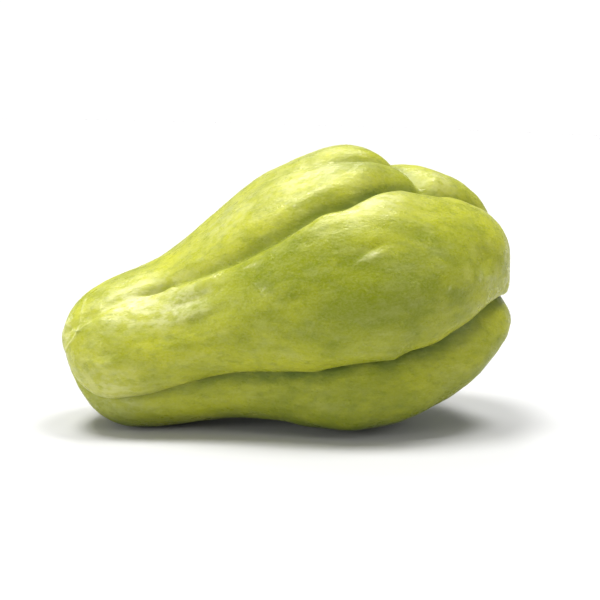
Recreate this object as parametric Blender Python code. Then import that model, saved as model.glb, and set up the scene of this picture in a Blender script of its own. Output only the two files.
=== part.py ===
"""A chayote squash lying on its side, as one closed body. Metres, +Z up.

A pear of round sections runs along X, from the stem end at -X to the blossom end at +X. Furrows follow
lines on its skin and split it into lobes; the two that meet at the blossom end make its mouth. The origin
is at the middle of the fruit's box seen from above, on the surface that it rests on.
"""

import math

import bmesh
import bpy
import numpy as np

# Driving dimensions. Lengths in the tables are millimetres and angles are degrees.
MM = 0.001
HALF_LENGTH = 66.7
RINGS = 62
COLUMNS = 96
SKIN_COLOUR = (0.352, 0.376, 0.045, 1.0)
SKIN_ROUGHNESS = 0.45

# A furrow's cross-section is a broad valley with a crease in it. The lobe that the crease tucks under
# ends in a short lip, and the other lobe meets it as a longer shelf. Each reach is a share of the
# furrow's width. CREASE_ROUNDING is the radius, in millimetres, that keeps the lip's edge from being
# sharp. Creases stand upright again towards the two ends, where the pear is thinner than LEAN_RADIUS.
CREASE_SHARE = 0.75
CREASE_ROUNDING = 1.8
LIP_REACH = 0.35
SHELF_REACH = 0.5
VALLEY_REACH = 1.4
LEAN_RADIUS = 20.0

# How much the skin gives where the fruit rests.
REST_CUT = 0.5

# The plain pear: place along X, girth (its radius before the ends close in), and the middle line's height and
# its place across, where minus is the near side.
BODY = (
    (-66, 35.2, 26.2, -6.0),
    (-58, 34.7, 22.9, -3.0),
    (-49, 32.5, 22.3, -1.0),
    (-40, 30.2, 23.8, 0.0),
    (-30, 29.8, 27.7, 0.0),
    (-20, 31.4, 32.4, 0.0),
    (-8, 35.0, 36.7, 0.0),
    (6, 39.7, 39.1, 0.0),
    (20, 42.6, 40.0, 0.0),
    (34, 43.8, 40.1, 0.0),
    (48, 45.7, 42.2, 0.0),
    (58, 48.6, 44.5, 0.0),
    (66, 53.0, 46.6, 0.0),
)

# Furrows: name, lean, and stations (place along X, angle, depth, width). Angles turn from the near side,
# -Y, up over the top. Seen from outside along its stations, a crease tucks under the lobe on its left
# where its lean is above 0 and on its right where it is below, by that share of its depth.
FURROWS = (
    ("mouth_near", 0.6, (
        (-66, -78, 1.0, 3.0),
        (-60, -57, 2.5, 4.0),
        (-51, -40, 3.2, 5.0),
        (-40, -35, 4.0, 6.0),
        (-30, -35, 5.0, 7.0),
        (-15, -38.5, 6.5, 8.0),
        (0, -39, 8.0, 8.0),
        (14, -34.6, 9.0, 8.0),
        (25, -33.9, 9.5, 8.0),
        (30.5, -31.4, 9.8, 8.0),
        (37, -31.6, 10.0, 8.0),
        (50, -29, 10.0, 7.5),
        (59.5, -28.5, 9.5, 6.0),
        (65.3, -48, 8.5, 5.0),
        (66, -90, 8.0, 5.0),
    )),
    ("mouth_far", -0.3, (
        (-66, 220, 1.0, 3.0),
        (-45, 216, 2.5, 5.0),
        (-10, 210, 4.5, 7.0),
        (20, 210, 6.0, 8.0),
        (50, 210, 8.0, 8.0),
        (60, 208, 8.0, 7.0),
        (65.3, 228, 8.0, 6.0),
        (66, 270, 8.0, 6.0),
    )),
    ("upper_near", -0.35, (
        (-66, 36, 0.6, 3.0),
        (-56, 52, 0.6, 4.0),
        (-44, 55, 1.8, 4.5),
        (-37, 53.5, 2.6, 5.0),
        (-30, 49, 2.8, 5.5),
        (-20, 44, 3.3, 6.0),
        (-11, 43.5, 3.8, 6.5),
        (-3, 46, 4.6, 6.5),
        (2, 49.5, 5.2, 6.5),
        (7, 50.6, 5.6, 6.5),
        (12, 52.2, 6.0, 6.5),
        (17, 56, 6.2, 6.5),
        (22, 60.3, 6.2, 6.5),
        (28, 63.6, 6.2, 6.5),
        (36, 66, 6.2, 6.5),
        (47, 69, 6.0, 6.0),
        (59, 73, 6.0, 6.0),
        (66, 82, 4.0, 5.0),
    )),
    ("upper_far", -0.1, (
        (-66, 110, 1.0, 3.0),
        (-45, 146, 2.0, 5.0),
        (-10, 146, 4.0, 8.5),
        (14, 132, 5.0, 10.0),
        (25, 112, 5.8, 10.0),
        (31, 93, 5.8, 9.5),
        (35, 78, 5.8, 8.5),
        (38.5, 69, 5.0, 7.5),
        (40.5, 64, 4.0, 7.0),
    )),
    ("crown", -0.2, (
        (-20, 92, 0.0, 4.0),
        (-5, 85, 1.4, 4.5),
        (10, 79.5, 3.2, 4.5),
        (21, 78, 4.2, 4.5),
        (30, 81.5, 3.6, 4.5),
    )),
    ("underside", 0.0, (
        (-66, 270, 1.0, 3.0),
        (-45, 270, 1.5, 5.0),
        (-10, 270, 3.0, 7.0),
        (20, 270, 4.5, 8.0),
        (50, 270, 4.5, 7.0),
        (65, 270, 3.0, 4.0),
    )),
)
POINTS_PER_STATION = 12

# Ridges: name, and stations (place along X, angle, height, reach to each side).
RIDGES = (
    ("lower_lobe_near", (
        (-60, -66, 0.0, 7.0),
        (-48, -56, 0.6, 7.0),
        (-30, -54, 1.8, 7.5),
        (-15, -54, 2.9, 8.0),
        (5, -51, 4.5, 8.0),
        (20, -49, 5.4, 8.0),
        (45, -44, 6.3, 8.0),
        (62, -41, 4.9, 7.0),
    )),
    ("lower_lobe_far", (
        (-52, 242, 0.0, 9.0),
        (-15, 242, 2.0, 10.0),
        (20, 238, 3.0, 10.0),
        (62, 236, 3.0, 10.0),
    )),
)

# Swellings of the lobes: name, place along X, angle, reach along X, reach across, height.
SWELLINGS = (
    ("crown_slope", -12, 95, 20, 22, 1.2),
    ("crown_lobe", 21, 100, 14, 18, 3.0),
    ("end_lobe_top", 38, 88, 9, 10, 1.1),
    ("upper_lobe_end", 63, 2, 9, 12, 0.4),
    ("lip_corner", 65, -64, 7, 8, 3.2),
    ("chin", 45, -80, 12, 13, -0.8),
    ("belly_near", 18, -66, 22, 12, 1.2),
)

# The body's columns of vertices run along these furrows, so that a crease is a row of vertices. Each
# takes the share of the columns that lies between it and the next, is held within a range of angles,
# and gathers columns beside it.
FOLLOWED = (
    ("underside", 1 / 6, -90, -90),
    ("mouth_near", 1 / 4, -66, -20),
    ("upper_near", 5 / 12, 40, 80),
    ("mouth_far", 1 / 6, 200, 240),
)
GATHERING = 0.25


def smooth_curve(at, keys, values):
    """A natural cubic spline through (keys, values), read at the places asked for, held within its ends."""
    keys = np.asarray(keys, float)
    values = np.asarray(values, float)
    gaps = np.diff(keys)
    slopes = np.diff(values) / gaps
    count = len(keys)
    system = np.eye(count)
    bends = np.zeros(count)
    for i in range(1, count - 1):
        system[i, i - 1:i + 2] = gaps[i - 1], 2 * (gaps[i - 1] + gaps[i]), gaps[i]
        bends[i] = 6 * (slopes[i] - slopes[i - 1])
    bends = np.linalg.solve(system, bends)
    at = np.clip(at, keys[0], keys[-1])
    i = np.clip(np.searchsorted(keys, at) - 1, 0, count - 2)
    left = (keys[i + 1] - at) / gaps[i]
    right = (at - keys[i]) / gaps[i]
    straight = left * values[i] + right * values[i + 1]
    bowed = (left**3 - left) * bends[i] + (right**3 - right) * bends[i + 1]
    return straight + bowed * gaps[i] ** 2 / 6


def section(x):
    """Radius of the plain pear at x, and its middle line's height and place across."""
    keys, girth, height, across = zip(*BODY)
    closing = np.sqrt(np.clip(1 - (x / HALF_LENGTH) ** 2, 0, None))
    radius = closing * smooth_curve(x, keys, girth)
    return radius, smooth_curve(x, keys, height), smooth_curve(x, keys, across)


def pear_point(x, angle):
    radius, height, across = section(x)
    return np.stack([x + 0 * angle, across - np.cos(angle) * radius, height + np.sin(angle) * radius], -1)


def pear_normal(latitude, angle):
    """Outward normal of the plain pear. Latitude runs from 0 at the stem end to pi at the blossom end."""
    step = 1e-3
    before, after = latitude - step, latitude + step
    x_before, x_after = -HALF_LENGTH * np.cos(before), -HALF_LENGTH * np.cos(after)
    along = x_after - x_before
    outward = np.sign(math.pi - after) * section(x_after)[0] - np.sign(before) * section(x_before)[0]
    length = np.hypot(along, outward)
    normal_x, normal_r = -outward / length, along / length
    return np.stack([normal_x + 0 * angle, -np.cos(angle) * normal_r, np.sin(angle) * normal_r], -1)


def furrow_course(stations):
    """Places along X, angles, depths and widths, closely spaced along a furrow."""
    keys = np.arange(len(stations))
    at = np.linspace(0, keys[-1], POINTS_PER_STATION * keys[-1] + 1)
    x, angle, depth, width = (smooth_curve(at, keys, column) for column in zip(*stations))
    return np.clip(x, -HALF_LENGTH, HALF_LENGTH), np.radians(angle), np.maximum(depth, 0), width


def nearest_on_line(points, line):
    """For each point, how it lies from the nearest point of the line, that point's place along the line,
    and the line's direction there."""
    nearest = np.full(len(points), np.inf)
    offset = np.zeros((len(points), 3))
    place = np.zeros(len(points))
    direction = np.zeros((len(points), 3))
    for i, (start, end) in enumerate(zip(line[:-1], line[1:])):
        run = end - start
        share = np.clip((points - start) @ run / (run @ run), 0, 1)
        away = points - start - share[:, None] * run
        distance = np.linalg.norm(away, axis=1)
        closer = distance < nearest
        nearest[closer] = distance[closer]
        offset[closer] = away[closer]
        place[closer] = i + share[closer]
        direction[closer] = run / np.linalg.norm(run)
    return offset, place, direction


def press_furrows(points, normals):
    """How far each point of the skin moves as the furrows are pressed in. Where several meet, their depths
    blend towards the deepest and don't add up."""
    cubes = np.zeros(len(points))
    leans = np.zeros((len(points), 3))
    near_ends = np.clip(section(points[:, 0])[0] / LEAN_RADIUS, 0, 1)[:, None]
    for _, lean, stations in FURROWS:
        x, angle, depths, widths = furrow_course(stations)
        offset, place, direction = nearest_on_line(points, pear_point(x, angle))
        index = np.arange(len(depths))
        depth = np.interp(place, index, depths)
        width = np.interp(place, index, widths)
        sideways = np.cross(normals, direction)
        sideways /= np.linalg.norm(sideways, axis=1, keepdims=True) + 1e-9
        distance = np.linalg.norm(offset, axis=1)
        rounded = np.sqrt(distance**2 + CREASE_ROUNDING**2) - CREASE_ROUNDING
        lip = np.exp(-rounded / (LIP_REACH * width))
        shelf = np.exp(-((distance / (SHELF_REACH * width)) ** 2))
        valley = np.exp(-((distance / (VALLEY_REACH * width)) ** 2))
        crease = np.where((offset * sideways).sum(1) * lean >= 0, lip, shelf)
        cube = (depth * (CREASE_SHARE * crease + (1 - CREASE_SHARE) * valley)) ** 3
        cubes += cube
        leans += lean * near_ends * cube[:, None] * sideways
    depth = np.cbrt(cubes)[:, None]
    return leans / (depth**2 + 1e-9) - normals * depth


def raise_ridges(points, normals):
    rise = np.zeros(len(points))
    for _, stations in RIDGES:
        x, angle, heights, reaches = furrow_course(stations)
        offset, place, _ = nearest_on_line(points, pear_point(x, angle))
        index = np.arange(len(heights))
        height = np.interp(place, index, heights)
        reach = np.interp(place, index, reaches)
        rise += height * np.exp(-((np.linalg.norm(offset, axis=1) / reach) ** 2))
    return normals * rise[:, None]


def raise_swellings(points, normals):
    rise = np.zeros(len(points))
    for _, x, angle, reach_along, reach_across, height in SWELLINGS:
        away = points - pear_point(np.float64(x), math.radians(angle))
        along = (away[:, 0] / reach_along) ** 2
        across = (away[:, 1] ** 2 + away[:, 2] ** 2) / reach_across**2
        rise += height * np.exp(-along - across)
    return normals * rise[:, None]


def column_angles(x, turn):
    """The angle of each vertex, from its place along X and its column's turn, a share of the way round
    that starts at the underside."""
    courses = {name: furrow_course(stations) for name, _, stations in FURROWS}
    bounds = []
    for name, _, lowest, highest in FOLLOWED:
        along, angle, _, _ = courses[name]
        bounds.append(np.clip(np.degrees(np.interp(x, np.maximum.accumulate(along), angle)), lowest, highest))
    bounds.append(bounds[0] + 360)
    angles = np.zeros(len(x))
    start = 0.0
    for i, (_, share, _, _) in enumerate(FOLLOWED):
        part = (turn - start) / share
        inside = (part >= 0) & (part < 1)
        gathered = part - GATHERING * np.sin(2 * math.pi * part) / (2 * math.pi)
        angles = np.where(inside, bounds[i] + (bounds[i + 1] - bounds[i]) * gathered, angles)
        start += share
    return np.radians(angles)


def skin(latitude, turn):
    """Points of the fruit's skin, in millimetres, resting on z = 0, with their box centred on the origin
    seen from above."""
    x = -HALF_LENGTH * np.cos(latitude)
    angle = column_angles(x, turn)
    points = pear_point(x, angle)
    normals = pear_normal(latitude, angle)
    raised = raise_ridges(points, normals) + raise_swellings(points, normals)
    points = points + press_furrows(points, normals) + raised
    # The skin gives a little where it rests, so each place that it rests on is flat.
    points[:, 2] = np.maximum(points[:, 2] - points[:, 2].min() - REST_CUT, 0)
    points[:, :2] -= (points[:, :2].min(0) + points[:, :2].max(0)) / 2
    return points


def skin_material():
    material = bpy.data.materials.new("chayote_skin")
    material.use_nodes = True
    shader = material.node_tree.nodes["Principled BSDF"]
    shader.inputs["Base Color"].default_value = SKIN_COLOUR
    shader.inputs["Roughness"].default_value = SKIN_ROUGHNESS
    shader.inputs["Metallic"].default_value = 0.0
    return material


def chayote():
    mesh = bpy.data.meshes.new("chayote")
    form = bmesh.new()
    bmesh.ops.create_uvsphere(form, u_segments=COLUMNS, v_segments=RINGS, radius=1.0)
    ball = np.array([v.co for v in form.verts])
    latitude = np.arccos(np.clip(-ball[:, 2], -1, 1))
    # Turning against the ball's own longitude keeps its faces outward once it lies along X. The shorter
    # diagonals run along the creases that cross the columns.
    turn = np.arctan2(-ball[:, 1], ball[:, 0]) / (2 * math.pi) % 1.0
    for vertex, point in zip(form.verts, skin(latitude, turn) * MM):
        vertex.co = point
    bmesh.ops.triangulate(form, faces=form.faces, quad_method="SHORT_EDGE")
    form.to_mesh(mesh)
    form.free()
    mesh.shade_smooth()
    mesh.materials.append(skin_material())
    return bpy.data.objects.new("chayote", mesh)


def main():
    for old in list(bpy.data.objects):
        bpy.data.objects.remove(old, do_unlink=True)
    collection = bpy.data.collections.new("chayote_squash")
    bpy.context.scene.collection.children.link(collection)
    collection.objects.link(chayote())


main()
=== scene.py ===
"""The looks of a chayote squash that lies on its side: its fine skin, its material and a plain studio.

The skin is the CAD body's own form worked out again on a finer grid, with the small dents, bumps and
streaks of a real fruit added. Its frame is the CAD part's: +X is the blossom end, -Y the near side, +Z up.
"""

import math

import bmesh
import bpy
import numpy as np
from mathutils import Matrix, Vector, noise


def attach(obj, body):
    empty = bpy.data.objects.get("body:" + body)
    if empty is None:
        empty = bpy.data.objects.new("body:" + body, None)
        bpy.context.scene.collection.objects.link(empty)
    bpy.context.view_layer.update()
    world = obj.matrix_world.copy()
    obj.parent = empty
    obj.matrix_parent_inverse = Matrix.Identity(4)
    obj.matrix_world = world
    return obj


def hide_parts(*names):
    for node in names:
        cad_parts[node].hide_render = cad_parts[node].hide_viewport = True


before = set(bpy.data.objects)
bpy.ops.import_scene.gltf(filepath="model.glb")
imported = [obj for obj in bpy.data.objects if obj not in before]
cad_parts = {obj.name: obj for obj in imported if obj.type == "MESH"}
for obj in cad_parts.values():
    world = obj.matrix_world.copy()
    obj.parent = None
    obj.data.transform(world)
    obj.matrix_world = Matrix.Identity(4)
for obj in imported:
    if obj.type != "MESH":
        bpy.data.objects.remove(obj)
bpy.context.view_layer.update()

MM = 0.001

# ----------------------------------------------------------------------------------------------------
# Form. Lengths are millimetres. Angles are degrees and turn from the near side, -Y, up over the top.
# ----------------------------------------------------------------------------------------------------
HALF_LENGTH = 66.7
RINGS = 275
COLUMNS = 360

# A furrow's cross-section is a broad valley with a crease in it. The lobe that the crease tucks under
# ends in a short lip, and the other lobe meets it as a longer shelf. Each reach is a share of the
# furrow's width. CREASE_ROUNDING is the radius that keeps the lip's edge from being sharp. Creases stand
# upright again towards the two ends, where the pear is thinner than LEAN_RADIUS.
CREASE_SHARE = 0.75
CREASE_ROUNDING = 0.45
LIP_REACH = 0.35
SHELF_REACH = 0.5
VALLEY_REACH = 1.4
LEAN_RADIUS = 20.0

# How much the skin gives where the fruit rests.
REST_CUT = 0.5

# The plain pear: place along X, girth (its radius before the ends close in), and the middle line's height
# and its place across.
BODY = (
    (-66, 35.2, 26.2, -6.0),
    (-58, 34.7, 22.9, -3.0),
    (-49, 32.5, 22.3, -1.0),
    (-40, 30.2, 23.8, 0.0),
    (-30, 29.8, 27.7, 0.0),
    (-20, 31.4, 32.4, 0.0),
    (-8, 35.0, 36.7, 0.0),
    (6, 39.7, 39.1, 0.0),
    (20, 42.6, 40.0, 0.0),
    (34, 43.8, 40.1, 0.0),
    (48, 45.7, 42.2, 0.0),
    (58, 48.6, 44.5, 0.0),
    (66, 53.0, 46.6, 0.0),
)

# Furrows: name, lean, and stations (place along X, angle, depth, width). Seen from outside along its
# stations, a crease tucks under the lobe on its left where its lean is above 0 and on its right where it
# is below, by that share of its depth.
FURROWS = (
    ("mouth_near", 0.6, (
        (-66, -78, 1.0, 3.0),
        (-60, -57, 2.5, 4.0),
        (-51, -40, 3.2, 5.0),
        (-40, -35, 4.0, 6.0),
        (-30, -35, 5.0, 7.0),
        (-15, -38.5, 6.5, 8.0),
        (0, -39, 8.0, 8.0),
        (14, -34.6, 9.0, 8.0),
        (25, -33.9, 9.5, 8.0),
        (30.5, -31.4, 9.8, 8.0),
        (37, -31.6, 10.0, 8.0),
        (50, -29, 10.0, 7.5),
        (59.5, -28.5, 9.5, 6.0),
        (65.3, -48, 8.5, 5.0),
        (66, -90, 8.0, 5.0),
    )),
    ("mouth_far", -0.3, (
        (-66, 220, 1.0, 3.0),
        (-45, 216, 2.5, 5.0),
        (-10, 210, 4.5, 7.0),
        (20, 210, 6.0, 8.0),
        (50, 210, 8.0, 8.0),
        (60, 208, 8.0, 7.0),
        (65.3, 228, 8.0, 6.0),
        (66, 270, 8.0, 6.0),
    )),
    ("upper_near", -0.35, (
        (-66, 36, 0.6, 3.0),
        (-56, 52, 0.6, 4.0),
        (-44, 55, 1.8, 4.5),
        (-37, 53.5, 2.6, 5.0),
        (-30, 49, 2.8, 5.5),
        (-20, 44, 3.3, 6.0),
        (-11, 43.5, 3.8, 6.5),
        (-3, 46, 4.6, 6.5),
        (2, 49.5, 5.2, 6.5),
        (7, 50.6, 5.6, 6.5),
        (12, 52.2, 6.0, 6.5),
        (17, 56, 6.2, 6.5),
        (22, 60.3, 6.2, 6.5),
        (28, 63.6, 6.2, 6.5),
        (36, 66, 6.2, 6.5),
        (47, 69, 6.0, 6.0),
        (59, 73, 6.0, 6.0),
        (66, 82, 4.0, 5.0),
    )),
    ("upper_far", -0.1, (
        (-66, 110, 1.0, 3.0),
        (-45, 146, 2.0, 5.0),
        (-10, 146, 4.0, 8.5),
        (14, 132, 5.0, 10.0),
        (25, 112, 5.8, 10.0),
        (31, 93, 5.8, 9.5),
        (35, 78, 5.8, 8.5),
        (38.5, 69, 5.0, 7.5),
        (40.5, 64, 4.0, 7.0),
    )),
    ("crown", -0.2, (
        (-20, 92, 0.0, 4.0),
        (-5, 85, 1.4, 4.5),
        (10, 79.5, 3.2, 4.5),
        (21, 78, 4.2, 4.5),
        (30, 81.5, 3.6, 4.5),
    )),
    ("underside", 0.0, (
        (-66, 270, 1.0, 3.0),
        (-45, 270, 1.5, 5.0),
        (-10, 270, 3.0, 7.0),
        (20, 270, 4.5, 8.0),
        (50, 270, 4.5, 7.0),
        (65, 270, 3.0, 4.0),
    )),
)
POINTS_PER_STATION = 12

# Ridges: name, and stations (place along X, angle, height, reach to each side).
RIDGES = (
    ("lower_lobe_near", (
        (-60, -66, 0.0, 7.0),
        (-48, -56, 0.6, 7.0),
        (-30, -54, 1.8, 7.5),
        (-15, -54, 2.9, 8.0),
        (5, -51, 4.5, 8.0),
        (20, -49, 5.4, 8.0),
        (45, -44, 6.3, 8.0),
        (62, -41, 4.9, 7.0),
    )),
    ("lower_lobe_far", (
        (-52, 242, 0.0, 9.0),
        (-15, 242, 2.0, 10.0),
        (20, 238, 3.0, 10.0),
        (62, 236, 3.0, 10.0),
    )),
)

# Swellings of the lobes: name, place along X, angle, reach along X, reach across, height.
SWELLINGS = (
    ("crown_slope", -12, 95, 20, 22, 1.2),
    ("crown_lobe", 21, 100, 14, 18, 3.0),
    ("end_lobe_top", 38, 88, 9, 10, 1.1),
    ("upper_lobe_end", 63, 2, 9, 12, 0.4),
    ("lip_corner", 65, -64, 7, 8, 3.2),
    ("chin", 45, -80, 12, 13, -0.8),
    ("belly_near", 18, -66, 22, 12, 1.2),
)

# The grid's columns run along these furrows, so that a crease is a row of vertices. Each takes the share
# of the columns that lies between it and the next, is held within a range of angles, and gathers columns
# beside it.
FOLLOWED = (
    ("underside", 1 / 6, -90, -90),
    ("mouth_near", 1 / 4, -66, -20),
    ("upper_near", 5 / 12, 40, 80),
    ("mouth_far", 1 / 6, 200, 240),
)
GATHERING = 0.55

# Marks of the skin, each an oval dent, bump or pale patch: name, place along X, angle, reach along it,
# reach across it, its slant away from X, height, and how pale it is. The specks' paleness is the skin's
# own; that of the ridges, lips, knobs, rims and bumps is painted highlight, as are the flat pale patches.
MARKS_AND_HIGHLIGHTS = (
    ("furrow_start", -40.5, 55.6, 4.5, 0.9, -2, -1.1, 0.0),
    ("furrow_start_lip", -38.5, 48, 5.0, 1.8, 12, 0.6, 0.3),
    ("neck_ridge", -33.5, 41, 5.5, 2.2, 8, 0.5, 0.5),
    ("neck_knob", -37.2, 50.5, 1.2, 1.2, 0, 0.5, 0.4),
    ("neck_ridge_end", -26.5, 41, 3.0, 1.6, 20, 0.4, 0.3),
    ("neck_hollow", -30.5, 31, 5.0, 1.7, -6, -0.9, 0.0),
    ("neck_ridge_low", -31.5, 22, 5.5, 1.5, -8, 0.45, 0.5),
    ("neck_hollow_low", -33.0, 14, 7.0, 2.5, 0, -0.3, 0.0),
    ("shoulder", 2.0, 44, 8.0, 4.5, 14, 1.1, 0.2),
    ("shoulder_dip", 10.0, 46, 2.6, 4.5, 60, -0.7, 0.0),
    ("shoulder_far", 19.0, 50, 8.0, 4.5, 6, 0.9, 0.2),
    ("flank_dent", 15.8, 24.6, 6.0, 1.0, 21, -0.6, 0.0),
    ("flank_ridge", 16.5, 22.4, 4.2, 0.6, 21, 0.35, 0.9),
    ("flank_tick", 30.5, 33.0, 5.0, 1.2, 14, -0.35, 0.0),
    ("speck_1", -3.6, 55.0, 0.55, 0.5, 0, 0.15, 0.9),
    ("speck_2", -8.5, 54.0, 1.7, 0.6, 5, 0.18, 0.8),
    ("speck_3", -16.4, 33.5, 1.5, 0.4, -20, 0.18, 0.9),
    ("speck_4", -13.2, 17.0, 0.4, 0.4, 0, 0.12, 0.9),
    ("speck_5", 39.0, 8.0, 0.5, 0.5, 0, 0.12, 0.5),
    ("speck_6", 50.2, 9.0, 0.9, 1.5, 0, 0.2, 0.6),
    ("neck_dimple", -56.5, -12.0, 4.0, 1.7, 18, -0.9, 0.0),
    ("dimple_rim", -57.0, -2.0, 4.5, 1.2, 22, 0.45, 0.35),
    ("stem_hollow", -60.5, 48, 2.2, 2.8, 0, -0.7, 0.0),
    ("stem_dent", -56.0, 50, 4.5, 1.1, 30, -0.35, 0.0),
    ("end_hump", 57.5, 34, 5.0, 5.5, 0, 0.9, 0.0),
    ("end_dent", 52.0, 19, 3.2, 4.2, 0, -0.8, 0.0),
    ("end_bump", 53.5, 7, 2.2, 2.6, 0, 0.45, 0.4),
    ("upper_lobe_dent", 14.0, 68, 4.5, 1.4, 35, -0.35, 0.0),
    ("crown_dent", 26.0, 71, 5.0, 2.2, 40, -0.5, 0.0),
    ("lower_lobe_dent", 33.0, -52, 9.0, 3.0, 8, -0.5, 0.0),
    ("lower_lobe_bump", 12.0, -50, 8.0, 3.0, 0, 0.4, 0.0),
    # Flat patches that are painted highlights where the lamps light the neck, crown, shoulder and end lobe,
    # and a painted reflection of the white floor and room low on the neck.
    ("neck_low_side", -55.0, -30.0, 12.0, 9.0, 0, 0.0, 0.5),
    ("neck_top", -47.0, 48.0, 11.0, 8.0, 0, 0.0, 0.9),
    ("neck_shoulder", -37.0, 32.0, 9.0, 5.0, 0, 0.0, 0.8),
    ("end_lobe_start", 42.0, 78.0, 6.0, 5.0, 0, 0.0, 0.45),
    ("crown_top", 8.0, 96.0, 20.0, 11.0, 0, 0.0, 0.3),
    ("crown_front", 3.0, 70.0, 15.0, 8.0, 15, 0.0, 0.6),
    ("crown_side", -18.0, 72.0, 12.0, 8.0, 10, 0.0, 0.35),
    ("flank_top", 17.0, 46.0, 13.0, 5.0, 25, 0.0, 0.6),
    ("far_dent", -8.0, 165, 6.0, 1.6, 20, -0.8, 0.0),
    ("far_ridge", -7.0, 159, 5.0, 1.2, 20, 0.35, 0.3),
    ("far_hollow", 30.0, 182, 8.0, 3.0, -12, -0.5, 0.0),
    ("far_speck", 12.0, 150, 1.4, 0.5, 0, 0.18, 0.8),
    ("top_speck", -20.0, 95, 1.6, 0.5, 10, 0.18, 0.8),
)

# Thin seams that meet at the stem's scar: name, height, reach, and places (along X, angle); and how pale
# they are.
SEAMS = (
    ("scar_up", 0.2, 0.4, ((-60.0, 76), (-61.8, 58), (-62.8, 42), (-63.2, 30))),
    ("scar_side", 0.2, 0.4, ((-63.2, 30), (-61.6, 36), (-60.2, 40))),
    ("scar_down", 0.25, 0.4, ((-63.2, 30), (-64.4, 16), (-65.4, 0), (-65.9, -24))),
    ("scar_back", 0.2, 0.4, ((-63.2, 30), (-65.6, 60), (-65.0, 150))),
)
SEAM_PALENESS = 0.6

# Greener patches of the skin: name, place along X, angle, reach along X, reach across, strength. On the
# flanks they are partly the skin's own green and partly painted shade on sides turned away from the
# overhead lamps; in the crown's hollow and on the underside they are painted shade.
TINTS_AND_SHADE = (
    ("near_flank", 20, 4, 26, 13, 0.95),
    ("near_flank_low", -6, -12, 26, 8, 0.25),
    ("near_shoulder", 38, 28, 16, 10, 0.45),
    ("neck_side", -10, 28, 20, 11, 0.8),
    ("neck_flank", -38, -6, 14, 7, 0.12),
    ("far_flank", 16, 186, 28, 13, 0.9),
    ("far_shoulder", 36, 140, 16, 12, 0.4),
    # The last two are painted shade: on the underside, where the floor's shadow falls, and in the crown's
    # hollow.
    ("underside", 10, -90, 45, 20, 0.7),
    ("crown_hollow", 24, 72, 12, 5, 0.5),
)

# Painted shade: dark patches where the skin faces the floor and its own contact shadow falls, given in the
# same way.
PAINTED_GROUND_SHADE = (
    ("belly", 20, -84, 46, 24, 1.9),
    ("neck", -45, -84, 13, 13, 0.9),
)

# Where a furrow's shelf keeps no painted shade and stays light, given in the same way.
LIT_SHELVES = (
    ("end_lobe", 42, 76, 8, 7, 0.9),
)

# Painted shade on a furrow's shelf, under the lobe that overhangs it: the depths where that starts and is
# full, and its reach as a share of the furrow's width.
SHADE_FROM = 1.5
SHADE_FULL = 7.0
SHADE_REACH = 0.38

# A furrow's course wanders a little: by how many degrees, and over what length.
WANDER = (0.9, 8.0)

# Slow swells, lumps, pimples and fine lengthwise streaks of the skin: height, and how long they are along
# and across the fruit.
SWELLS = (0.45, 20.0, 10.0)
LUMPS = (0.16, 7.0, 4.5)
PIMPLES = (0.05, 3.2, 2.2)
STREAKS = (0.09, 16.0, 2.2)

# ----------------------------------------------------------------------------------------------------
# Skin. Colours are linear red, green and blue; some of them carry painted shade and painted highlights.
# ----------------------------------------------------------------------------------------------------
SKIN_MAIN = (0.385, 0.402, 0.02)
SKIN_GOLD = (0.455, 0.465, 0.02)
SKIN_GREEN = (0.185, 0.222, 0.004)
# Pale marks of the skin, and the colour of the painted highlights.
SKIN_PALE_AND_HIGHLIGHT = (0.6, 0.605, 0.3)
# Painted shade on the furrows' shelves and where the skin faces the floor.
SKIN_PAINTED_SHADE = (0.065, 0.105, 0.007)

# Random patches of the skin: size along X and across, detail, seed, the values of the random field where
# a patch starts and is full, and the most that it comes to. One field breaks up the painted shade, and
# another the pale marks and painted highlights.
PATCHES = {
    "gold": (16, 7, 2, 3.1, 0.42, 0.66, 0.65),
    "green": (14, 7, 4, 7.7, 0.4, 0.7, 0.5),
    "freckles": (3.0, 1.6, 3, 1.3, 0.48, 0.7, 0.45),
    "grain": (0.8, 0.6, 2, 8.8, 0.4, 0.65, 0.1),
    "streaks": (12, 3.5, 4, 5.9, 0.45, 0.75, 0.14),
    "pale_and_highlight_breakup": (4, 2, 4, 6.6, 0.4, 0.6, 0.75),
    "shade": (6, 2.5, 3, 9.3, 0.3, 0.6, 0.3),
    "dull": (5, 2.5, 3, 4.4, 0.38, 0.66, 0.22),
    "relief": (1.6, 0.9, 4, 2.2, 0.2, 0.8, 1.0),
}

# The least that is left of the pale marks and painted highlights, and of the shelves' painted shade,
# between the patches that break them up.
PALE_LEAST = 0.25
SHADE_LEAST = 0.7

# The shader's values. The roughness is the glossiest skin's, and the relief's height and the depths that
# red, green and blue light reach are millimetres.
SKIN_ROUGHNESS = 0.26
SKIN_GLOSS = 0.42
SKIN_GLOSS_TINT = (1.0, 0.98, 0.6)
SKIN_CLEARNESS = 0.2
SKIN_DEPTHS = (4.0, 4.0, 1.0)
RELIEF_STRENGTH = 0.6
RELIEF_HEIGHT = 0.12

# ----------------------------------------------------------------------------------------------------
# Studio. The camera stands DISTANCE from AIM, in millimetres, and looks past AIM to its right and down.
# ROLL is its turn about its line of sight. Azimuths turn from the near side towards +X.
# ----------------------------------------------------------------------------------------------------
AZIMUTH = -12.0
ELEVATION = 9.0
ROLL = 1.6
DISTANCE = 494.0
AIM = (0.0, 0.0, 41.6)
AIM_PAST_RIGHT = 3.8
AIM_PAST_DOWN = 5.4
LENS = 100.0
SENSOR_WIDTH = 36.0

# The floor is round, and its radius is metres.
FLOOR_RADIUS = 1.4
FLOOR_SIDES = 96
FLOOR_GREY = 0.57
FLOOR_ROUGHNESS = 0.9
FLOOR_GLOSS = 0.1

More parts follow.
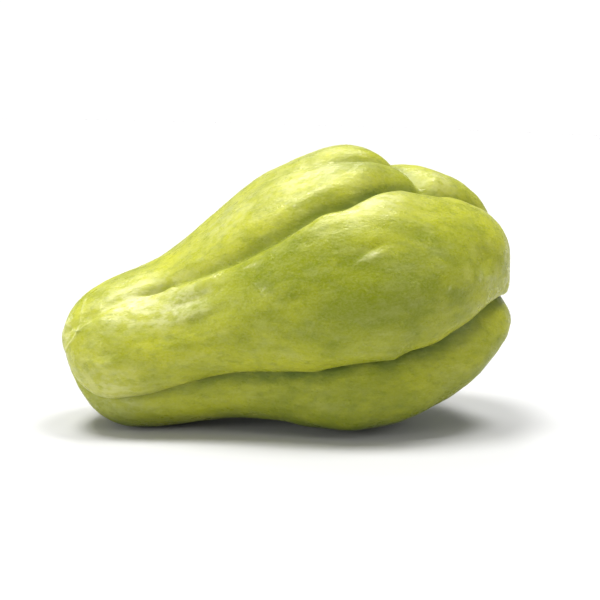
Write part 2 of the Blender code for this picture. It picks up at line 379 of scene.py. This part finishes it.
# Soft round lamps: name, azimuth and elevation as the camera has, and radiance. LIGHT_SPREAD is half the
# angle that a lamp fills, and LIGHT_DISTANCE is metres.
LIGHT_DISTANCE = 4.0
LIGHT_SPREAD = 10.0
LIGHTS = (
    ("key_left", 270.0, 75.0, 27.0),
    ("key_right", 90.0, 75.0, 18.5),
    ("top_back", 180.0, 55.0, 9.0),
    ("rim_left", 225.0, 10.0, 7.0),
    ("fill_left", 300.0, 10.0, 11.5),
    ("fill_right", 45.0, 30.0, 3.5),
)

# The room glows evenly, apart from the wall behind the fruit, which is white. The white fades out between
# two heights, which are sines of the elevation, and fades in towards the back between two values of Y,
# for directions of length 1.
ROOM_GLOW = 0.36
WALL_GLOW = 1.05
WALL_TOP = (0.03, 0.12)
WALL_EDGE = (0.4, 0.8)


def smooth_curve(at, keys, values):
    """A natural cubic spline through (keys, values), read at the places asked for, held within its ends."""
    keys = np.asarray(keys, float)
    values = np.asarray(values, float)
    gaps = np.diff(keys)
    slopes = np.diff(values) / gaps
    count = len(keys)
    system = np.eye(count)
    bends = np.zeros(count)
    for i in range(1, count - 1):
        system[i, i - 1:i + 2] = gaps[i - 1], 2 * (gaps[i - 1] + gaps[i]), gaps[i]
        bends[i] = 6 * (slopes[i] - slopes[i - 1])
    bends = np.linalg.solve(system, bends)
    at = np.clip(at, keys[0], keys[-1])
    i = np.clip(np.searchsorted(keys, at) - 1, 0, count - 2)
    left = (keys[i + 1] - at) / gaps[i]
    right = (at - keys[i]) / gaps[i]
    straight = left * values[i] + right * values[i + 1]
    bowed = (left**3 - left) * bends[i] + (right**3 - right) * bends[i + 1]
    return straight + bowed * gaps[i] ** 2 / 6


def section(x):
    """Radius of the plain pear at x, and its middle line's height and place across."""
    keys, girth, height, across = zip(*BODY)
    closing = np.sqrt(np.clip(1 - (x / HALF_LENGTH) ** 2, 0, None))
    radius = closing * smooth_curve(x, keys, girth)
    return radius, smooth_curve(x, keys, height), smooth_curve(x, keys, across)


def pear_point(x, angle):
    radius, height, across = section(x)
    return np.stack([x + 0 * angle, across - np.cos(angle) * radius, height + np.sin(angle) * radius], -1)


def pear_normal(latitude, angle):
    """Outward normal of the plain pear. Latitude runs from 0 at the stem end to pi at the blossom end."""
    step = 1e-3
    before, after = latitude - step, latitude + step
    x_before, x_after = -HALF_LENGTH * np.cos(before), -HALF_LENGTH * np.cos(after)
    along = x_after - x_before
    outward = np.sign(math.pi - after) * section(x_after)[0] - np.sign(before) * section(x_before)[0]
    length = np.hypot(along, outward)
    normal_x, normal_r = -outward / length, along / length
    return np.stack([normal_x + 0 * angle, -np.cos(angle) * normal_r, np.sin(angle) * normal_r], -1)


def furrow_course(stations):
    """Places along X, angles, depths and widths, closely spaced along a furrow that wanders a little."""
    keys = np.arange(len(stations))
    at = np.linspace(0, keys[-1], POINTS_PER_STATION * keys[-1] + 1)
    x, angle, depth, width = (smooth_curve(at, keys, column) for column in zip(*stations))
    most, length = WANDER
    seed = stations[0][1]
    angle = angle + most * np.array([noise.noise(Vector((place / length, seed, 0))) for place in x])
    return np.clip(x, -HALF_LENGTH, HALF_LENGTH), np.radians(angle), np.maximum(depth, 0), width


def nearest_on_line(points, line):
    """For each point, how it lies from the nearest point of the line, that point's place along the line,
    and the line's direction there."""
    nearest = np.full(len(points), np.inf)
    offset = np.zeros((len(points), 3))
    place = np.zeros(len(points))
    direction = np.zeros((len(points), 3))
    for i, (start, end) in enumerate(zip(line[:-1], line[1:])):
        run = end - start
        share = np.clip((points - start) @ run / (run @ run), 0, 1)
        away = points - start - share[:, None] * run
        distance = np.linalg.norm(away, axis=1)
        closer = distance < nearest
        nearest[closer] = distance[closer]
        offset[closer] = away[closer]
        place[closer] = i + share[closer]
        direction[closer] = run / np.linalg.norm(run)
    return offset, place, direction


def press_furrows(points, normals):
    """How far each point of the skin moves as the furrows are pressed in, and how much painted shade each
    gets, from 0 to 1, on the shelf of a deep furrow. Where several furrows meet, their depths blend towards
    the deepest and don't add up."""
    cubes = np.zeros(len(points))
    shades = np.zeros(len(points))
    leans = np.zeros((len(points), 3))
    near_ends = np.clip(section(points[:, 0])[0] / LEAN_RADIUS, 0, 1)[:, None]
    for _, lean, stations in FURROWS:
        x, angle, depths, widths = furrow_course(stations)
        offset, place, direction = nearest_on_line(points, pear_point(x, angle))
        index = np.arange(len(depths))
        depth = np.interp(place, index, depths)
        width = np.interp(place, index, widths)
        sideways = np.cross(normals, direction)
        sideways /= np.linalg.norm(sideways, axis=1, keepdims=True) + 1e-9
        distance = np.linalg.norm(offset, axis=1)
        rounded = np.sqrt(distance**2 + CREASE_ROUNDING**2) - CREASE_ROUNDING
        lip = np.exp(-rounded / (LIP_REACH * width))
        shelf = np.exp(-((distance / (SHELF_REACH * width)) ** 2))
        valley = np.exp(-((distance / (VALLEY_REACH * width)) ** 2))
        under_lip = (offset * sideways).sum(1) * lean >= 0
        crease = np.where(under_lip, lip, shelf)
        cube = (depth * (CREASE_SHARE * crease + (1 - CREASE_SHARE) * valley)) ** 3
        cubes += cube
        leans += lean * near_ends * cube[:, None] * sideways
        # The painted shade holds over most of its reach on the shelf, and ends at once on the lip.
        deep = np.clip((depth - SHADE_FROM) / (SHADE_FULL - SHADE_FROM), 0, 1)
        fading = np.exp(-((distance / (SHADE_REACH * width)) ** 4))
        shades = np.maximum(shades, deep * np.where(under_lip, lip**3, fading))
    depth = np.cbrt(cubes)[:, None]
    return leans / (depth**2 + 1e-9) - normals * depth, shades


def raise_ridges(points, normals):
    rise = np.zeros(len(points))
    for _, stations in RIDGES:
        x, angle, heights, reaches = furrow_course(stations)
        offset, place, _ = nearest_on_line(points, pear_point(x, angle))
        index = np.arange(len(heights))
        height = np.interp(place, index, heights)
        reach = np.interp(place, index, reaches)
        rise += height * np.exp(-((np.linalg.norm(offset, axis=1) / reach) ** 2))
    return normals * rise[:, None]


def raise_swellings(points, normals):
    rise = np.zeros(len(points))
    for _, x, angle, reach_along, reach_across, height in SWELLINGS:
        away = points - pear_point(np.float64(x), math.radians(angle))
        along = (away[:, 0] / reach_along) ** 2
        across = (away[:, 1] ** 2 + away[:, 2] ** 2) / reach_across**2
        rise += height * np.exp(-along - across)
    return normals * rise[:, None]


def around(x, angle, place, centre):
    """How far each point lies from a place on the skin, in millimetres along X and round the fruit."""
    turn = (angle - math.radians(centre) + math.pi) % (2 * math.pi) - math.pi
    return x - place, turn * section(np.float64(place))[0]


def make_marks_and_highlights(x, angle):
    """How far each point rises at the marks and seams, and how pale it is there; the paleness is partly the
    skin's own and partly painted highlight.
    """
    rise = np.zeros(len(x))
    pale_and_highlight = np.zeros(len(x))
    for _, place, centre, reach_along, reach_across, slant, height, paleness in MARKS_AND_HIGHLIGHTS:
        along, across = around(x, angle, place, centre)
        slant = math.radians(slant)
        lengthwise = (along * math.cos(slant) + across * math.sin(slant)) / reach_along
        sideways = (across * math.cos(slant) - along * math.sin(slant)) / reach_across
        share = np.exp(-(lengthwise**2) - sideways**2)
        rise += height * share
        pale_and_highlight = np.maximum(pale_and_highlight, paleness * share)
    points = pear_point(x, angle)
    for _, height, reach, places in SEAMS:
        place, centre = np.array(places, float).T
        offset, _, _ = nearest_on_line(points, pear_point(place, np.radians(centre)))
        share = np.exp(-(offset**2).sum(1) / reach**2)
        rise += height * share
        pale_and_highlight = np.maximum(pale_and_highlight, SEAM_PALENESS * share)
    return rise, pale_and_highlight


def find_patches(x, angle, patches):
    """How strong patches of the skin are at each point, from 0 to 1."""
    share = np.zeros(len(x))
    for _, place, centre, reach_along, reach_across, strength in patches:
        along, across = around(x, angle, place, centre)
        share += strength * np.exp(-((along / reach_along) ** 2) - (across / reach_across) ** 2)
    return np.clip(share, 0, 1)


def ripple(points, height, length_along, length_across):
    """A smooth random height over the skin, drawn out along X."""
    scale = np.array([1 / length_along, 1 / length_across, 1 / length_across])
    return height * np.array([noise.noise(Vector(p)) for p in points * scale])


def column_angles(x, turn):
    """The angle of each vertex, from its place along X and its column's turn, a share of the way round
    that starts at the underside."""
    courses = {name: furrow_course(stations) for name, _, stations in FURROWS}
    bounds = []
    for name, _, lowest, highest in FOLLOWED:
        along, angle, _, _ = courses[name]
        course = np.degrees(np.interp(x, np.maximum.accumulate(along), angle))
        bounds.append(np.clip(course, lowest, highest))
    bounds.append(bounds[0] + 360)
    angles = np.zeros(len(x))
    start = 0.0
    for i, (_, share, _, _) in enumerate(FOLLOWED):
        part = (turn - start) / share
        inside = (part >= 0) & (part < 1)
        gathered = part - GATHERING * np.sin(2 * math.pi * part) / (2 * math.pi)
        angles = np.where(inside, bounds[i] + (bounds[i + 1] - bounds[i]) * gathered, angles)
        start += share
    return np.radians(angles)


def skin(latitude, turn):
    """Points of the fruit's skin, in millimetres, resting on z = 0, with their box centred on the origin
    seen from above, and at each the painted shade, the paleness with its painted highlights, and how green
    the skin is, where the green also stands in for shade in places."""
    x = -HALF_LENGTH * np.cos(latitude)
    angle = column_angles(x, turn)
    points = pear_point(x, angle)
    normals = pear_normal(latitude, angle)
    pressed, shade = press_furrows(points, normals)
    lift, pale_and_highlight = make_marks_and_highlights(x, angle)
    for texture in (SWELLS, LUMPS, PIMPLES, STREAKS):
        lift += ripple(points, *texture)
    # The green is partly the skin's own tone and partly painted shade.
    green = find_patches(x, angle, TINTS_AND_SHADE)
    # Painted shade where the skin faces the floor, left out where a furrow's shelf stays light.
    shade = np.maximum(shade, find_patches(x, angle, PAINTED_GROUND_SHADE))
    shade *= 1 - find_patches(x, angle, LIT_SHELVES)
    points = points + pressed + raise_ridges(points, normals) + raise_swellings(points, normals)
    points += normals * lift[:, None]
    # The skin gives a little where it rests, so each place that it rests on is flat.
    points[:, 2] = np.maximum(points[:, 2] - points[:, 2].min() - REST_CUT, 0)
    points[:, :2] -= (points[:, :2].min(0) + points[:, :2].max(0)) / 2
    return points, {"shade": shade, "pale_and_highlight": pale_and_highlight, "green": green}


def chayote():
    mesh = bpy.data.meshes.new("chayote_skin")
    form = bmesh.new()
    bmesh.ops.create_uvsphere(form, u_segments=COLUMNS, v_segments=RINGS, radius=1.0)
    ball = np.array([v.co for v in form.verts])
    latitude = np.arccos(np.clip(-ball[:, 2], -1, 1))
    # Turning against the ball's own longitude keeps its faces outward once it lies along X.
    turn = np.arctan2(-ball[:, 1], ball[:, 0]) / (2 * math.pi) % 1.0
    points, tones = skin(latitude, turn)
    for vertex, point in zip(form.verts, points * MM):
        vertex.co = point
    form.to_mesh(mesh)
    form.free()
    mesh.shade_smooth()
    for name, values in tones.items():
        mesh.attributes.new(name, "FLOAT", "POINT").data.foreach_set("value", values.astype(np.float32))
    piece = bpy.data.objects.new("chayote_fruit", mesh)
    bpy.context.scene.collection.objects.link(piece)
    return piece


def attribute(nodes, name):
    """One of the values that the skin's points carry."""
    reader = nodes.new("ShaderNodeAttribute")
    reader.attribute_name = name
    return reader.outputs["Fac"]


def mottle(nodes, links, name):
    """The strength of the random patches of this name, which are drawn out along X."""
    length_along, length_across, detail, seed, lowest, highest, most = PATCHES[name]
    along, across = 1 / (length_along * MM), 1 / (length_across * MM)
    place = nodes.new("ShaderNodeTexCoord")
    stretch = nodes.new("ShaderNodeMapping")
    stretch.inputs["Location"].default_value = (seed, 2 * seed, 3 * seed)
    stretch.inputs["Scale"].default_value = (along, across, across)
    field = nodes.new("ShaderNodeTexNoise")
    field.inputs["Scale"].default_value = 1.0
    field.inputs["Detail"].default_value = detail
    field.inputs["Roughness"].default_value = 0.6
    share = nodes.new("ShaderNodeMapRange")
    share.interpolation_type = "SMOOTHSTEP"
    share.inputs["From Min"].default_value = lowest
    share.inputs["From Max"].default_value = highest
    share.inputs["To Max"].default_value = most
    links.new(place.outputs["Object"], stretch.inputs["Vector"])
    links.new(stretch.outputs["Vector"], field.inputs["Vector"])
    links.new(field.outputs["Fac"], share.inputs["Value"])
    return share.outputs["Result"]


def combine(nodes, links, operation, first, second):
    """The sum or product of two values, each a socket or a number, held between 0 and 1."""
    maths = nodes.new("ShaderNodeMath")
    maths.operation = operation
    maths.use_clamp = True
    for socket, value in zip(maths.inputs, (first, second)):
        if isinstance(value, float):
            socket.default_value = value
        else:
            links.new(value, socket)
    return maths.outputs["Value"]


def stain_and_painted_light(nodes, links, under, colour, share):
    """The colour under, taken over by another colour where share is high: the skin's own tones, and also
    its painted shade and painted highlights.
    """
    blend = nodes.new("ShaderNodeMix")
    blend.data_type = "RGBA"
    if isinstance(under, tuple):
        blend.inputs["A"].default_value = (*under, 1.0)
    else:
        links.new(under, blend.inputs["A"])
    blend.inputs["B"].default_value = (*colour, 1.0)
    links.new(share, blend.inputs["Factor"])
    return blend.outputs["Result"]


def skin_material():
    material = bpy.data.materials.new("chayote_skin_fine")
    material.use_nodes = True
    nodes = material.node_tree.nodes
    links = material.node_tree.links
    shader = nodes["Principled BSDF"]
    # The green is partly the skin's own and partly painted shade.
    green = combine(nodes, links, "ADD", mottle(nodes, links, "green"), attribute(nodes, "green"))
    # Pale marks and painted highlights, broken up by random patches, with pale streaks added.
    left = combine(nodes, links, "ADD", mottle(nodes, links, "pale_and_highlight_breakup"), PALE_LEAST)
    pale_and_highlight = combine(nodes, links, "MULTIPLY", attribute(nodes, "pale_and_highlight"), left)
    pale_and_highlight = combine(nodes, links, "ADD", mottle(nodes, links, "streaks"), pale_and_highlight)
    # Painted shade on the shelves and where the skin faces the floor, broken up by random patches.
    left = combine(nodes, links, "ADD", mottle(nodes, links, "shade"), SHADE_LEAST)
    shade = combine(nodes, links, "MULTIPLY", attribute(nodes, "shade"), left)
    colour = stain_and_painted_light(nodes, links, SKIN_MAIN, SKIN_GOLD, mottle(nodes, links, "gold"))
    colour = stain_and_painted_light(nodes, links, colour, SKIN_GREEN, green)
    colour = stain_and_painted_light(nodes, links, colour, SKIN_GREEN, mottle(nodes, links, "freckles"))
    colour = stain_and_painted_light(nodes, links, colour, SKIN_PALE_AND_HIGHLIGHT, pale_and_highlight)
    colour = stain_and_painted_light(nodes, links, colour, SKIN_PALE_AND_HIGHLIGHT, mottle(nodes, links, "grain"))
    colour = stain_and_painted_light(nodes, links, colour, SKIN_PAINTED_SHADE, shade)
    links.new(colour, shader.inputs["Base Color"])
    roughness = combine(nodes, links, "ADD", mottle(nodes, links, "dull"), SKIN_ROUGHNESS)
    links.new(roughness, shader.inputs["Roughness"])
    relief = nodes.new("ShaderNodeBump")
    relief.inputs["Strength"].default_value = RELIEF_STRENGTH
    relief.inputs["Distance"].default_value = RELIEF_HEIGHT * MM
    links.new(mottle(nodes, links, "relief"), relief.inputs["Height"])
    links.new(relief.outputs["Normal"], shader.inputs["Normal"])
    shader.inputs["Specular IOR Level"].default_value = SKIN_GLOSS
    shader.inputs["Specular Tint"].default_value = (*SKIN_GLOSS_TINT, 1.0)
    shader.inputs["Subsurface Weight"].default_value = SKIN_CLEARNESS
    shader.inputs["Subsurface Radius"].default_value = SKIN_DEPTHS
    shader.inputs["Subsurface Scale"].default_value = MM
    return material


def floor():
    mesh = bpy.data.meshes.new("floor")
    form = bmesh.new()
    bmesh.ops.create_circle(form, cap_ends=True, segments=FLOOR_SIDES, radius=FLOOR_RADIUS)
    form.to_mesh(mesh)
    form.free()
    material = bpy.data.materials.new("floor_white")
    material.use_nodes = True
    shader = material.node_tree.nodes["Principled BSDF"]
    shader.inputs["Base Color"].default_value = (FLOOR_GREY, FLOOR_GREY, FLOOR_GREY, 1.0)
    shader.inputs["Roughness"].default_value = FLOOR_ROUGHNESS
    shader.inputs["Specular IOR Level"].default_value = FLOOR_GLOSS
    mesh.materials.append(material)
    disc = bpy.data.objects.new("floor", mesh)
    bpy.context.scene.collection.objects.link(disc)


def direction(azimuth, elevation):
    """From the fruit towards a place at this azimuth, where 0 is the near side, and elevation."""
    azimuth, elevation = math.radians(azimuth), math.radians(elevation)
    level = math.cos(elevation)
    return Vector((math.sin(azimuth) * level, -math.cos(azimuth) * level, math.sin(elevation)))


def lights():
    """Round lamps. The power of each is its radiance times pi times its area."""
    radius = LIGHT_DISTANCE * math.tan(math.radians(LIGHT_SPREAD))
    for name, azimuth, elevation, radiance in LIGHTS:
        lamp = bpy.data.lights.new(name, "AREA")
        lamp.shape = "DISK"
        lamp.size = 2 * radius
        lamp.energy = radiance * math.pi * (math.pi * radius**2)
        holder = bpy.data.objects.new(name, lamp)
        holder.location = direction(azimuth, elevation) * LIGHT_DISTANCE
        holder.rotation_euler = direction(azimuth, elevation).to_track_quat("Z", "Y").to_euler()
        bpy.context.scene.collection.objects.link(holder)


def room():
    """An evenly glowing room, with a white wall behind the fruit."""
    world = bpy.data.worlds.new("room")
    world.use_nodes = True
    nodes, links = world.node_tree.nodes, world.node_tree.links
    outward = nodes.new("ShaderNodeTexCoord")
    parts = nodes.new("ShaderNodeSeparateXYZ")
    links.new(outward.outputs["Generated"], parts.inputs["Vector"])
    low = nodes.new("ShaderNodeMapRange")
    behind = nodes.new("ShaderNodeMapRange")
    for fade, part, (start, end) in ((low, "Z", WALL_TOP), (behind, "Y", WALL_EDGE)):
        fade.interpolation_type = "SMOOTHSTEP"
        fade.inputs["From Min"].default_value = start
        fade.inputs["From Max"].default_value = end
        links.new(parts.outputs[part], fade.inputs["Value"])
    low.inputs["To Min"].default_value = 1.0
    low.inputs["To Max"].default_value = 0.0
    wall = combine(nodes, links, "MULTIPLY", low.outputs["Result"], behind.outputs["Result"])
    glow = nodes.new("ShaderNodeMapRange")
    glow.inputs["To Min"].default_value = ROOM_GLOW
    glow.inputs["To Max"].default_value = WALL_GLOW
    links.new(wall, glow.inputs["Value"])
    links.new(glow.outputs["Result"], nodes["Background"].inputs["Strength"])
    nodes["Background"].inputs["Color"].default_value = (1.0, 1.0, 1.0, 1.0)
    bpy.context.scene.world = world


def camera():
    back = direction(AZIMUTH, ELEVATION)
    roll = math.radians(ROLL)
    aim = Vector(AIM) * MM
    place = aim + back * DISTANCE * MM
    level = Vector((0, 0, 1)).cross(back).normalized()
    upright = back.cross(level)
    right = level * math.cos(roll) + upright * math.sin(roll)
    up = upright * math.cos(roll) - level * math.sin(roll)
    middle = aim + right * AIM_PAST_RIGHT * MM - up * AIM_PAST_DOWN * MM
    back = (place - middle).normalized()
    right = up.cross(back).normalized()
    up = back.cross(right)
    lens = bpy.data.cameras.new("camera")
    lens.lens = LENS
    lens.sensor_width = SENSOR_WIDTH
    holder = bpy.data.objects.new("camera", lens)
    turned = Matrix((right, up, back)).transposed().to_4x4()
    holder.matrix_world = Matrix.Translation(place) @ turned
    bpy.context.scene.collection.objects.link(holder)
    bpy.context.scene.camera = holder


def main():
    fruit = chayote()
    fruit.data.materials.append(skin_material())
    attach(fruit, "root")
    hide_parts("chayote")
    floor()
    lights()
    room()
    camera()
    bpy.context.scene.view_settings.view_transform = "Standard"


main()
